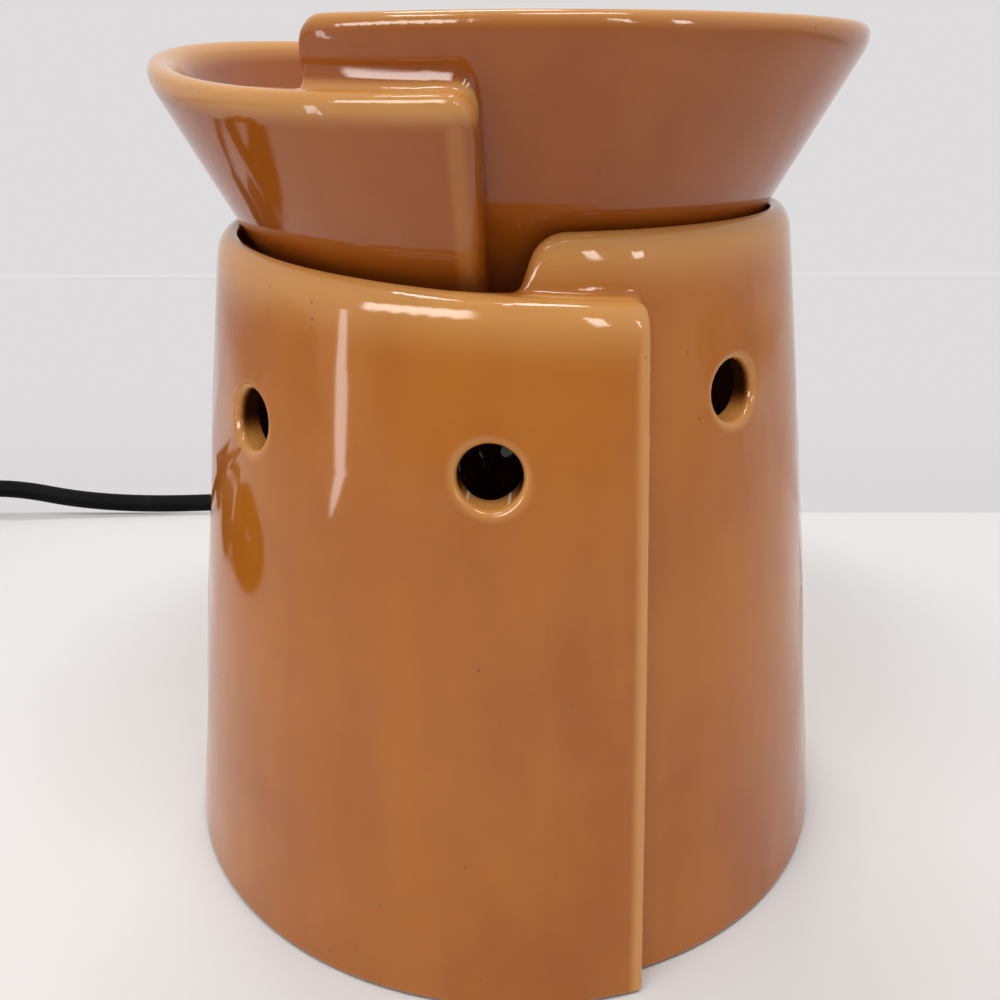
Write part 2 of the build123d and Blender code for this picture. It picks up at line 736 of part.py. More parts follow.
with BuildPart() as terminal_screws:
    for side in (-1, 1):
        face = Plane(origin=(side * HOLDER_RADIUS, 0, TERMINAL_HEIGHT), z_dir=(side, 0, 0))
        with BuildSketch(face):
            Circle(TERMINAL_HEAD_RADIUS)
        extrude(amount=TERMINAL_HEAD)
        with BuildSketch(face):
            Circle(TERMINAL_RADIUS)
        extrude(amount=-TERMINAL_REACH)
keep(terminal_screws, "terminal_screws")


# Bulb

with BuildPart() as bulb_tip:
    with BuildSketch(Plane.XY.offset(TIP_BOTTOM)):
        Circle(TIP_RADIUS)
    extrude(amount=TIP_HEIGHT)
keep(bulb_tip, "bulb_tip")

with BuildPart() as bulb_insulator:
    with BuildSketch(Plane.XY.offset(TIP_BOTTOM + TIP_HEIGHT)):
        Circle(TIP_RADIUS + 1)
    with BuildSketch(Plane.XY.offset(CAP_BOTTOM)):
        Circle(CAP_RADIUS - THREAD_DEPTH)
    loft()
keep(bulb_insulator, "bulb_insulator")

THREADS = int(CAP_LENGTH / THREAD_PITCH)
with BuildPart() as bulb_cap:
    with BuildSketch(Plane.XZ):
        with BuildLine() as cap_line:
            bottom = CAP_RADIUS - THREAD_DEPTH
            wave = [(bottom, CAP_BOTTOM)]
            for thread in range(THREADS):
                low = CAP_BOTTOM + thread * THREAD_PITCH
                wave.append((CAP_RADIUS, low + THREAD_PITCH / 2))
                wave.append((bottom, low + THREAD_PITCH))
            Polyline(
                (0, CAP_BOTTOM),
                *wave,
                (bottom, COLLAR_BOTTOM),
                (CAP_COLLAR, COLLAR_TOP),
                (0, COLLAR_TOP),
                close=True,
            )
        make_face()
    revolve(axis=Axis.Z)
keep(bulb_cap, "bulb_cap")

# The neck leaves the cap straight and meets the globe in one smooth curve
MEET = radians(40)  # below the globe's middle
globe_meet = (GLOBE_RADIUS * cos(MEET), GLOBE_MIDDLE - GLOBE_RADIUS * sin(MEET))
globe_side = (GLOBE_RADIUS, GLOBE_MIDDLE)
with BuildPart() as bulb_glass:
    with BuildSketch(Plane.XZ):
        with BuildLine():
            neck = Line((0, COLLAR_TOP), (NECK_RADIUS, COLLAR_TOP))
            Spline(neck @ 1, globe_meet, tangents=[(0, 1), (sin(MEET), cos(MEET))])
            globe = ThreePointArc(
                globe_meet,
                (GLOBE_RADIUS * cos(MEET / 2), GLOBE_MIDDLE + GLOBE_RADIUS * sin(MEET / 2)),
                (0, BULB_TOP),
            )
            Line(globe @ 1, (0, COLLAR_TOP))
        make_face()
    revolve(axis=Axis.Z)
    offset(amount=-GLASS_THICK, openings=bulb_glass.faces().sort_by(Axis.Z)[0])
keep(bulb_glass, "bulb_glass")

with BuildPart() as bulb_stem:
    with BuildSketch(Plane.XY.offset(COLLAR_TOP)):
        Circle(STEM_FLARE)
    with BuildSketch(Plane.XY.offset(STEM_TOP)):
        Circle(STEM_RADIUS)
    loft()
keep(bulb_stem, "bulb_stem")

FILAMENT_HEIGHT = STEM_TOP + FILAMENT_UP
with BuildPart() as bulb_supports:
    for side in (-1, 1):
        foot_point = Vector(side * STEM_RADIUS / 2, 0, STEM_TOP + WIRE_RADIUS / 2)
        head_point = Vector(side * FILAMENT_SPAN / 2, 0, FILAMENT_HEIGHT - 2 * FILAMENT_RADIUS)
        with BuildSketch(Plane(origin=foot_point, z_dir=head_point - foot_point)):
            Circle(WIRE_RADIUS)
        extrude(amount=(head_point - foot_point).length)
keep(bulb_supports, "bulb_supports")

with BuildPart() as bulb_filament:
    with BuildLine() as filament_line:
        ThreePointArc(
            (-FILAMENT_SPAN / 2, 0, FILAMENT_HEIGHT),
            (0, 0, FILAMENT_HEIGHT + FILAMENT_SPAN / 4),
            (FILAMENT_SPAN / 2, 0, FILAMENT_HEIGHT),
        )
    with BuildSketch(Plane(origin=filament_line.line @ 0, z_dir=filament_line.line % 0)):
        Circle(FILAMENT_RADIUS)
    sweep()
keep(bulb_filament, "bulb_filament")


# Strain relief, cord and leads


def bend_radii(points):
    """The largest radius that each corner's two runs leave room for."""
    radii = []
    for before, corner, after in zip(points, points[1:], points[2:]):
        run_in = Vector(*corner) - Vector(*before)
        run_out = Vector(*after) - Vector(*corner)
        half_turn = radians(run_in.get_angle(run_out)) / 2
        radii.append(0.45 * min(run_in.length, run_out.length) / tan(half_turn))
    return radii


def tube_along(points, radius):
    """A tube on straight runs and tangent arcs through a route."""
    with BuildPart() as tube:
        with BuildLine() as route:
            FilletPolyline(*points, radius=bend_radii(points))
        with BuildSketch(Plane(origin=route.line @ 0, z_dir=route.line % 0)):
            Circle(radius)
        sweep()
    length = route.wires()[0].length
    share = tube.part.volume / (pi * radius**2 * length)
    print(f"tube of {length:.0f} mm, {share:.4f} of its section times its length, radii",
          [round(bend) for bend in bend_radii(points)])
    return tube


RELIEF_OUT = BACK_OUT + RELIEF_OUT_GAP
RELIEF_IN = BACK_IN - RELIEF_IN_GAP
RELIEF_SLEEVE = RELIEF_OUT + RELIEF_FLANGE_THICK
RELIEF_END = RELIEF_OUT + RELIEF_LENGTH
exit_axis = Axis((0, 0, EXIT_HEIGHT), (0, 1, 0))
sleeve_points = []
for rib in range(RELIEF_RIBS):
    start = RELIEF_SLEEVE + (RELIEF_END - RELIEF_SLEEVE) * rib / RELIEF_RIBS
    middle = RELIEF_SLEEVE + (RELIEF_END - RELIEF_SLEEVE) * (rib + 0.6) / RELIEF_RIBS
    radius = RELIEF_ROOT + (RELIEF_TIP - RELIEF_ROOT) * rib / RELIEF_RIBS
    sleeve_points += [(radius, start), (radius, middle), (radius - RELIEF_RIB, middle)]
with BuildPart() as strain_relief:
    with BuildSketch(Plane(origin=(0, 0, EXIT_HEIGHT), x_dir=(1, 0, 0), z_dir=(0, 0, 1))):
        with BuildLine():
            Polyline(
                (0, RELIEF_IN - RELIEF_FLANGE_THICK),
                (RELIEF_FLANGE, RELIEF_IN - RELIEF_FLANGE_THICK),
                (RELIEF_FLANGE, RELIEF_IN),
                (RELIEF_NECK, RELIEF_IN),
                (RELIEF_NECK, RELIEF_OUT),
                (RELIEF_FLANGE, RELIEF_OUT),
                (RELIEF_FLANGE, RELIEF_SLEEVE),
                *sleeve_points,
                (RELIEF_TIP - RELIEF_RIB, RELIEF_END),
                (0, RELIEF_END),
                close=True,
            )
        make_face()
    revolve(axis=exit_axis)
keep(strain_relief, "strain_relief")

TAIL_START = RELIEF_IN - RELIEF_FLANGE_THICK
TAIL_END = TAIL_START - TAIL_LENGTH
with BuildPart() as cord_tail:
    with BuildSketch(Plane(origin=(0, TAIL_START, EXIT_HEIGHT), z_dir=(0, -1, 0))):
        Circle(CORD / 2)
    extrude(amount=TAIL_LENGTH)
keep(cord_tail, "cord_tail")

LEAD_END = TERMINAL_HEAD_RADIUS + CLEARANCE
for side, name in ((-1, "lead_live"), (1, "lead_neutral")):
    terminal = side * (HOLDER_RADIUS + TERMINAL_HEAD / 2)
    lead = tube_along(
        [
            (side * LEAD_SPREAD, TAIL_END, EXIT_HEIGHT),
            (side * LEAD_SPREAD, TAIL_END - 9.5, EXIT_HEIGHT),
            (side * 5.5, 26.0, EXIT_HEIGHT + 2),
            (side * 11.5, 15.5, TERMINAL_HEIGHT - 0.7),
            (terminal, LEAD_END + 6, TERMINAL_HEIGHT),
            (terminal, LEAD_END, TERMINAL_HEIGHT),
        ],
        LEAD_RADIUS,
    )
    keep(lead, name)

FLOOR_LINE = CORD / 2
cord_route = [
    (0.0, RELIEF_END, EXIT_HEIGHT),
    (0.0, RELIEF_END + 13.0, EXIT_HEIGHT),
    (-5.5, RELIEF_END + 28.2, EXIT_HEIGHT - 2.5),
    (-19.0, RELIEF_END + 41.7, EXIT_HEIGHT - 7.5),
    (-40.0, SWITCH_Y + 3.0, FLOOR_LINE + 2.5),
    (-66.0, SWITCH_Y + 5.0, FLOOR_LINE),
    (-98.0, SWITCH_Y + 3.5, FLOOR_LINE),
    (-128.0, SWITCH_Y + 1.0, FLOOR_LINE),
    (-153.0, SWITCH_Y, FLOOR_LINE + 2),
    (SWITCH_X + SWITCH_LENGTH / 2 + 16, SWITCH_Y, SWITCH_JOINT),
    (SWITCH_X + SWITCH_LENGTH / 2, SWITCH_Y, SWITCH_JOINT),
]
keep(tube_along(cord_route, CORD / 2), "cord_stretch")

COIL_SIDE = COIL_X - COIL_RADIUS
COIL_ENTRY = COIL_Y + CORD
link_route = [
    (SWITCH_X - SWITCH_LENGTH / 2, SWITCH_Y, SWITCH_JOINT),
    (SWITCH_X - SWITCH_LENGTH / 2 - 16, SWITCH_Y, SWITCH_JOINT),
    (-279.0, SWITCH_Y - 8.5, SWITCH_JOINT - 3.0),
    (-290.0, SWITCH_Y - 26.0, COIL_LOW + 0.6),
    (COIL_SIDE + 0.5, SWITCH_Y - 49.0, COIL_LOW),
    (COIL_SIDE, COIL_ENTRY + 24, COIL_LOW),
    (COIL_SIDE, COIL_ENTRY, COIL_LOW),
]
keep(tube_along(link_route, CORD / 2), "cord_link")


# In-line switch


def case_half(low, high):
    """One half of the switch's case, hollowed for the wheel."""
    with BuildPart() as half:
        with BuildSketch(Plane.XY.offset(SWITCH_JOINT)):
            with Locations((SWITCH_X, SWITCH_Y)):
                RectangleRounded(SWITCH_LENGTH, SWITCH_WIDTH, SWITCH_ROUND)
        extrude(amount=high - SWITCH_JOINT if high > SWITCH_JOINT else low - SWITCH_JOINT)
        outer_face = half.faces().sort_by(Axis.Z)[-1 if high > SWITCH_JOINT else 0]
        fillet(outer_face.edges(), SWITCH_ROUND)
        with BuildSketch(Plane.XY.offset(WHEEL_HEIGHT - WHEEL_RADIUS - WHEEL_GAP)):
            with Locations((SWITCH_X, SWITCH_Y)):
                Rectangle(2 * (WHEEL_RADIUS + WHEEL_GAP), WHEEL_THICK + 2 * WHEEL_GAP)
        extrude(amount=SWITCH_HEIGHT, mode=Mode.SUBTRACT)
    return half


axle_end = SWITCH_Y - AXLE_LENGTH / 2
axle_plane = Plane(origin=(SWITCH_X, axle_end, WHEEL_HEIGHT), z_dir=(0, 1, 0))
screw_top = CASE_SCREW_SUNK + CASE_SCREW_HEAD_HIGH + CASE_SCREW_LENGTH

switch_lower = case_half(0.0, SWITCH_JOINT)
with BuildPart(mode=Mode.PRIVATE) as lower_case:
    add(switch_lower.part)
    with BuildSketch(Plane((SWITCH_X, SWITCH_Y, 0))):
        with GridLocations(CASE_SCREW_SPACING, 0, 2, 1):
            Circle(CASE_SCREW_RADIUS + CLEARANCE)
    extrude(amount=SWITCH_JOINT, mode=Mode.SUBTRACT)
    with BuildSketch(Plane((SWITCH_X, SWITCH_Y, 0))):
        with GridLocations(CASE_SCREW_SPACING, 0, 2, 1):
            Circle(CASE_SCREW_HEAD + CLEARANCE)
    extrude(amount=CASE_SCREW_SUNK + CASE_SCREW_HEAD_HIGH, mode=Mode.SUBTRACT)
keep(lower_case, "switch_lower")

switch_upper = case_half(SWITCH_JOINT, SWITCH_HEIGHT)
with BuildPart(mode=Mode.PRIVATE) as upper_case:
    add(switch_upper.part)
    with BuildSketch(Plane((SWITCH_X, SWITCH_Y, SWITCH_JOINT))):
        with GridLocations(CASE_SCREW_SPACING, 0, 2, 1):
            Circle(CASE_SCREW_RADIUS + CLEARANCE)
    extrude(amount=screw_top - SWITCH_JOINT + CLEARANCE, mode=Mode.SUBTRACT)
    with BuildSketch(axle_plane):
        Circle(AXLE_RADIUS + AXLE_FIT)
    extrude(amount=AXLE_LENGTH, mode=Mode.SUBTRACT)
keep(upper_case, "switch_upper")

with BuildPart() as switch_axle:
    with BuildSketch(axle_plane):
        Circle(AXLE_RADIUS)
    extrude(amount=AXLE_LENGTH)
keep(switch_axle, "switch_axle")

wheel_plane = Plane(origin=(SWITCH_X, SWITCH_Y - WHEEL_THICK / 2, WHEEL_HEIGHT), z_dir=(0, 1, 0))
with BuildPart() as switch_wheel:
    with BuildSketch(wheel_plane):
        Circle(WHEEL_RADIUS)
        Circle(AXLE_RADIUS + AXLE_FIT, mode=Mode.SUBTRACT)
        with PolarLocations(WHEEL_RADIUS + GRIP_RADIUS / 3, GRIP_COUNT):
            Circle(GRIP_RADIUS, mode=Mode.SUBTRACT)
    extrude(amount=WHEEL_THICK)
keep(switch_wheel, "switch_wheel")

with BuildPart() as switch_screws:
    with BuildSketch(Plane((SWITCH_X, SWITCH_Y, CASE_SCREW_SUNK))):
        with GridLocations(CASE_SCREW_SPACING, 0, 2, 1):
            Circle(CASE_SCREW_HEAD)
    extrude(amount=CASE_SCREW_HEAD_HIGH)
    with BuildSketch(Plane((SWITCH_X, SWITCH_Y, CASE_SCREW_SUNK))):
        with GridLocations(CASE_SCREW_SPACING, 0, 2, 1):
            Circle(CASE_SCREW_RADIUS)
    extrude(amount=CASE_SCREW_HEAD_HIGH + CASE_SCREW_LENGTH)
keep(switch_screws, "switch_screws")


# Coil: two flat layers of half turns, spiralling in on the table and out again on top

INNER_RADIUS = COIL_RADIUS - COIL_HALF_TURNS * COIL_PITCH / 2
climb_start = Vector(COIL_X - INNER_RADIUS, COIL_Y, COIL_LOW)
climb_end = Vector(COIL_X + INNER_RADIUS, COIL_Y, COIL_HIGH)
climb_middle = Vector(COIL_X, COIL_Y - (climb_end - climb_start).length / 2, (COIL_LOW + COIL_HIGH) / 2)
half_turns = range(COIL_HALF_TURNS)
with BuildPart() as cord_coil:
    with BuildLine() as coil_path:
        Line((COIL_SIDE, COIL_ENTRY, COIL_LOW), (COIL_SIDE, COIL_Y, COIL_LOW))
        x = COIL_SIDE
        for half in half_turns:
            radius = COIL_RADIUS - half * COIL_PITCH / 2
            way = 1 if half % 2 == 0 else -1
            middle = (x + way * radius, COIL_Y - way * radius, COIL_LOW)
            ThreePointArc((x, COIL_Y, COIL_LOW), middle, (x + 2 * way * radius, COIL_Y, COIL_LOW))
            x += 2 * way * radius
        TangentArc(climb_start, climb_middle, tangent=(0, -1, 0))
        TangentArc(climb_middle, climb_end, tangent=climb_end - climb_start)
        x = climb_end.X
        for half in half_turns:
            radius = INNER_RADIUS + (half + 1) * COIL_PITCH / 2
            way = -1 if half % 2 == 0 else 1
            middle = (x + way * radius, COIL_Y - way * radius, COIL_HIGH)
            ThreePointArc((x, COIL_Y, COIL_HIGH), middle, (x + 2 * way * radius, COIL_Y, COIL_HIGH))
            x += 2 * way * radius
        PLUG_X = x
        Line((PLUG_X, COIL_Y, COIL_HIGH), (PLUG_X, COIL_ENTRY, COIL_HIGH))
    with BuildSketch(Plane(origin=coil_path.line @ 0, z_dir=coil_path.line % 0)):
        Circle(CORD / 2)
    sweep()
keep(cord_coil, "cord_coil")

samples = [edge @ share for edge in coil_path.edges() for share in spread(0, 1, COIL_SAMPLES)]
far_apart = 2 * COIL_SAMPLES
coil_gap = min(
    (there - here).length - CORD
    for number, here in enumerate(samples)
    for there in samples[number + far_apart:]
)
coil_length = coil_path.wires()[0].length
coil_share = cord_coil.part.volume / (pi * CORD**2 / 4 * coil_length)
print(f"coil of {coil_length:.0f} mm, {coil_share:.4f} of its section times its length,"
      f" least gap {coil_gap:.2f} mm")

TIE_FAR = COIL_RADIUS + CORD / 2 + TIE_GAP
TIE_BOW = TIE_WIDTH**2 / (8 * INNER_RADIUS)  # of the inmost turn across the tie's width
TIE_NEAR = INNER_RADIUS - CORD / 2 - TIE_GAP - TIE_BOW
TIE_TOP = COIL_HIGH + CORD / 2 + TIE_GAP
TIE_BOTTOM = COIL_LIFT - TIE_GAP
with BuildPart() as cord_tie:
    with BuildSketch(Plane.YZ.offset(COIL_X - TIE_WIDTH / 2)):
        with Locations((COIL_Y - (TIE_FAR + TIE_NEAR) / 2, (TIE_TOP + TIE_BOTTOM) / 2)):
            RectangleRounded(
                TIE_FAR - TIE_NEAR + 2 * TIE_THICK,
                TIE_TOP - TIE_BOTTOM + 2 * TIE_THICK,
                TIE_ROUND + TIE_THICK,
            )
            RectangleRounded(TIE_FAR - TIE_NEAR, TIE_TOP - TIE_BOTTOM, TIE_ROUND, mode=Mode.SUBTRACT)
    extrude(amount=TIE_WIDTH)
keep(cord_tie, "cord_tie")


# Plug

PLUG_HALF = COIL_HIGH  # it lies on the table, with the cord in its middle
SLEEVE_END = COIL_ENTRY + END_RUN
PLUG_BACK = SLEEVE_END + PLUG_SLEEVE
PLUG_FRONT = PLUG_BACK + PLUG_LENGTH


def across_plug(y):
    return Plane(origin=(PLUG_X, y, COIL_HIGH), x_dir=(1, 0, 0), z_dir=(0, 1, 0))


with BuildPart() as cord_end:
    with BuildSketch(across_plug(COIL_ENTRY)):
        Circle(CORD / 2)
    extrude(amount=END_RUN)
keep(cord_end, "cord_end")

with BuildPart() as plug_body:
    with BuildSketch(across_plug(PLUG_BACK)):
        RectangleRounded(PLUG_WIDTH, 2 * PLUG_HALF, PLUG_ROUND)
    extrude(amount=PLUG_LENGTH)
    fillet(plug_body.faces().sort_by(Axis.Y)[0].edges(), PLUG_ROUND - CLEARANCE)
    with BuildSketch(across_plug(SLEEVE_END)):
        Circle(PLUG_SLEEVE_TIP)
    with BuildSketch(across_plug(PLUG_BACK + PLUG_ROUND)):
        Circle(PLUG_SLEEVE_ROOT)
    loft()
    with BuildSketch(across_plug(PLUG_FRONT)):
        with GridLocations(BLADE_SPACING, 0, 2, 1):
            Rectangle(BLADE_THICK, BLADE_WIDTH)
    extrude(amount=-BLADE_SET, mode=Mode.SUBTRACT)
keep(plug_body, "plug_body")

with BuildPart() as plug_blades:
    with BuildSketch(across_plug(PLUG_FRONT - BLADE_SET)):
        with GridLocations(BLADE_SPACING, 0, 2, 1):
            Rectangle(BLADE_THICK, BLADE_WIDTH)
    extrude(amount=BLADE_SET + BLADE_LENGTH)
    chamfer(plug_blades.faces().group_by(Axis.Y)[-1].edges().filter_by(Axis.X), BLADE_THICK / 3)
keep(plug_blades, "plug_blades")
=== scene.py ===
"""Looks of a glazed ceramic wax melt warmer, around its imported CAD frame.

Metres, +Z up, front towards -Y.
"""
import math

import bmesh
import bpy
from bpy.props import FloatProperty, FloatVectorProperty, PointerProperty
from mathutils import Matrix, Vector


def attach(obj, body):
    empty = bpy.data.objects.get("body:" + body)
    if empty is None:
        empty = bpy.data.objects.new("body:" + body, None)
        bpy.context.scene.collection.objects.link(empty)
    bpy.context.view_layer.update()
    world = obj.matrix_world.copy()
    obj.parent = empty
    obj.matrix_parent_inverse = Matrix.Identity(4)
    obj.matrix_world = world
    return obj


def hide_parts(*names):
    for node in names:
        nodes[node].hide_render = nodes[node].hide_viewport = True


bl_info = {
    "name": "Wax Melt Warmer",
    "version": (1, 0, 0),
    "blender": (4, 5, 0),
    "location": "View3D > Sidebar > Warmer",
    "description": "Glaze, lamp, cord and studio of a ceramic wax melt warmer",
    "category": "Object",
}

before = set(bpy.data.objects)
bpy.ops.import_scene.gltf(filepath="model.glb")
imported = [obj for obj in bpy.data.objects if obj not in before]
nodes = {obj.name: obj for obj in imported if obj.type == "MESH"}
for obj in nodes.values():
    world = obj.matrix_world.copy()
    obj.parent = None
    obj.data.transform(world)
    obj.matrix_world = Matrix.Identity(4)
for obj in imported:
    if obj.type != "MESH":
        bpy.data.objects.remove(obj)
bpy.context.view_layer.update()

MM = 0.001
BODY = "warmer"

# The rolled sheets: seam azimuth and lean, rim heights, how early the rim climbs and how level it starts,
# the mean outside radius carried down to the table, its change with height, the radius lost in one turn,
# where the glaze is painted lighter beside its end, from nothing to full and back, and how strongly: thin
# glaze with a painted reflection on the end's rounded edge, and where it is painted lighter below the rim,
# from nothing to full, and how much lower that lies at the seam: thin glaze with painted light on the lip
# lit from above
BODY_SHEET = {
    "seam": 19.35, "lean": 0.0236, "low": 113.4 * MM, "rise": 9.25 * MM, "power": 2.76, "bend": 1.0,
    "radius": 68.37 * MM, "slope": -0.148, "step": 4.0 * MM,
    "end_thin_and_lit": (0.0, 0.3 * MM, 1.5 * MM, 3.4 * MM), "thin": 0.95,
    "rim_thin_and_lit": (-10.0 * MM, -0.5 * MM), "deeper": 0.0,
}
DISH_SHEET = {
    "seam": -4.3, "lean": 0.0, "low": 140.9 * MM, "rise": 9.1 * MM, "power": 90.0, "bend": 3.0,
    "radius": -18.56 * MM, "slope": 0.536, "step": 7.0 * MM,
    "end_thin_and_lit": (0.4 * MM, 2.2 * MM, 2.8 * MM, 4.4 * MM), "thin": 0.3,
    "rim_thin_and_lit": (-2.7 * MM, 0.6 * MM), "deeper": 2.3 * MM,
}
LAYER_SHARE = 0.85  # of a step, how deep the outer layer reaches
LAYER_EDGE = (-0.5 * MM, 0.3 * MM)  # over which it fades in
LAYER_TOP = (0.4 * MM, 2.0 * MM)  # above its rim, over which it ends

# The vents, and the ranges over which their masks come or go
VENT_AZIMUTH = -3.0  # of the front one, degrees
VENT_COUNT = 8
VENT_BELOW_RIM = 25.0 * MM
VENT_RADIUS = 4.8 * MM
VENT_PAINTED_SHADE = (0.045, 0.012, 0.004)  # painted shade inside the vents, darker towards their tops
THROAT_DEPTH = (0.5 * MM, 2.0 * MM)  # inwards from the outside
THROAT_SIDE = (VENT_RADIUS + 0.3 * MM, VENT_RADIUS + 1.0 * MM)
THROAT_RISE = (-4.4 * MM, -1.0 * MM)  # from a vent's middle; below this the painted shade fades out, so the lower inside is painted light
LIP_SIDE = (VENT_RADIUS + 0.2 * MM, VENT_RADIUS + 2.0 * MM)
LIP_THIN_AND_LIT = 0.75  # how light a vent's lip is painted: thin glaze, made stronger as painted light on the lit lip

# The cord's route, out of the strain relief, along the table, through the switch and into the coil
CORD_EXIT = (0.0, 0.09128, 0.018)
CORD_ROUTE = (
    CORD_EXIT,
    (0.0, 0.10428, 0.018),
    (-0.0055, 0.11948, 0.0155),
    (-0.019, 0.13298, 0.0105),
    (-0.040, 0.140, 0.0055),
    (-0.066, 0.142, 0.003),
    (-0.098, 0.1405, 0.003),
    (-0.128, 0.138, 0.003),
    (-0.153, 0.137, 0.005),
    (-0.174, 0.137, 0.0095),
    (-0.190, 0.137, 0.0095),
    (-0.246, 0.137, 0.0095),
    (-0.262, 0.137, 0.0095),
    (-0.279, 0.1285, 0.0065),
    (-0.290, 0.111, 0.0043),
    (-0.2935, 0.088, 0.0037),
    (-0.294, 0.062, 0.0037),
    (-0.294, 0.038, 0.0037),
)
COIL_MIDDLE = (-0.250, 0.032)
COIL_RADIUS = 44.0 * MM
COIL_PITCH = 6.5 * MM
COIL_LOW = 3.7 * MM
COIL_HIGH = 10.2 * MM
COIL_HALF_TURNS = 6
COIL_POINTS = 8  # in each half turn
COIL_LEAD = 8.0 * MM  # straight, out of the coil towards the plug
PLUG_END = (-0.206, 0.054, COIL_HIGH)

# Colours that stay the same, of the small parts and of the glaze's pinholes
STEEL = (0.56, 0.57, 0.58)
RUBBER = (0.022, 0.022, 0.023)
BRASS = (0.72, 0.52, 0.22)
BRASS_TARNISH = (0.6, 0.5, 0.45)  # share of each colour that is left
ALUMINIUM = (0.74, 0.74, 0.75)
TIN = (0.62, 0.62, 0.63)
TUNGSTEN = (0.2, 0.19, 0.18)
PORCELAIN = (0.78, 0.76, 0.70)
PORCELAIN_STAIN = (0.62, 0.58, 0.50)
CLEAR_GLASS = (0.98, 0.98, 0.98)
BLACK_GLASS = (0.015, 0.015, 0.018)
BLACK_INSULATION = (0.02, 0.02, 0.02)
WHITE_INSULATION = (0.75, 0.74, 0.71)
PINHOLE = (0.05, 0.016, 0.006)
BLACK = (0.0, 0.0, 0.0)

# The table and the wall behind it: ranges of distance, towards the back unless a name says otherwise
TABLE_HALF = 40.0
TABLE_EDGE = (0.136, 0.1385)
TABLE_AROUND = (0.6, 1.3)  # from the middle, to every side
WALL_FOOT_SHADE = (0.136, 0.30)  # where the wall is painted a little darker: painted shade at its foot, by the table
WALL_JOINT = (0.600, 0.606, 0.612, 0.618)  # a pale line, from nothing to full and back
WALL_ASIDE = (0.45, 0.8)  # sideways, where the wall dims
WALL_ASIDE_TO = (0.3, 0.7)

# Ceiling panels, and a strip of light beside the warmer
PANELS = (("left", (-0.34, -0.36, 1.1)), ("right", (0.2, -0.3, 1.1)), ("back", (-0.1, 0.5, 1.1)))
PANEL_AIM = (0.0, 0.0, 0.1)
PANEL_SIZE = (0.42, 0.16)
STRIP_PLACE = (-0.193, -0.135, 0.087)
STRIP_AIM = (-0.02, -0.05, 0.09)
STRIP_SIZE = (0.016, 0.085)
STRIP_POWER = 0.02
FILL_TONE = (0.97, 0.98, 1.0)  # of the room's even light

# The dim side of the room, and lamps there that the rims reflect: place, width and height
DIM_PLACE = (0.0, -0.42, 0.6)
DIM_WIDTH = 2.6
DIM_HEIGHT = 1.2
DIM_LEFT = (-0.75, -0.2)  # ranges over which it fades in or out
DIM_RIGHT = (0.2, 0.6)
DIM_LOW = (0.0, 0.09)
DIM_HIGH = (0.5, 1.0)
DIM_TONE = (0.34, 0.33, 0.33)
LAMP_TONE = (1.0, 0.96, 0.92)
LAMP_GLOW = 12.0
LAMP_ENDS = (0.6, 1.0)  # squared shares of its half width and half height, over which a lamp fades
LAMP_SIDES = (0.2, 1.0)
FRONT_LAMPS = (
    ("left", (-0.28, -0.36, 0.29), 0.44, 0.16),
    ("right", (0.21, -0.36, 0.29), 0.05, 0.16),
    ("far_right", (0.40, -0.36, 0.29), 0.08, 0.16),
)


class GlazeFinish(bpy.types.PropertyGroup):
    """Colours of the ceramic glaze"""

    colour: FloatVectorProperty(
        name="Glaze", description="Main colour of the glaze",
        subtype="COLOR", size=3, default=(0.52, 0.165, 0.014),
    )
    pooled: FloatVectorProperty(
        name="Pooled", description="Where the glaze lies thick",
        subtype="COLOR", size=3, default=(0.38, 0.100, 0.009),
    )
    deep: FloatVectorProperty(
        name="Deep", description="Where it lies thickest",
        subtype="COLOR", size=3, default=(0.29, 0.064, 0.006),
    )
    # This colour also paints light on the lips and a painted reflection on the seam's end
    thin: FloatVectorProperty(
        name="Thin", description="Where the glaze breaks over edges",
        subtype="COLOR", size=3, default=(0.74, 0.36, 0.10),
    )
    gloss: FloatProperty(
        name="Roughness", description="Roughness of the fired glaze",
        default=0.07, min=0.0, max=1.0, subtype="FACTOR",
    )
    ripple: FloatProperty(
        name="Ripple", description="Strength of the surface's slow waves",
        default=0.05, min=0.0, max=1.0, subtype="FACTOR",
    )


class CordFinish(bpy.types.PropertyGroup):
    """Size and colour of the cord"""

    thickness: FloatProperty(
        name="Diameter", description="Diameter of the cord",
        default=0.006, min=0.002, max=0.012, unit="LENGTH",
    )
    jacket: FloatVectorProperty(
        name="Jacket", description="Colour of the cord's jacket",
        subtype="COLOR", size=3, default=(0.004, 0.004, 0.0045),
    )
    plastic: FloatVectorProperty(
        name="Mouldings", description="Colour of the plug, switch and strain relief",
        subtype="COLOR", size=3, default=(0.008, 0.008, 0.009),
    )


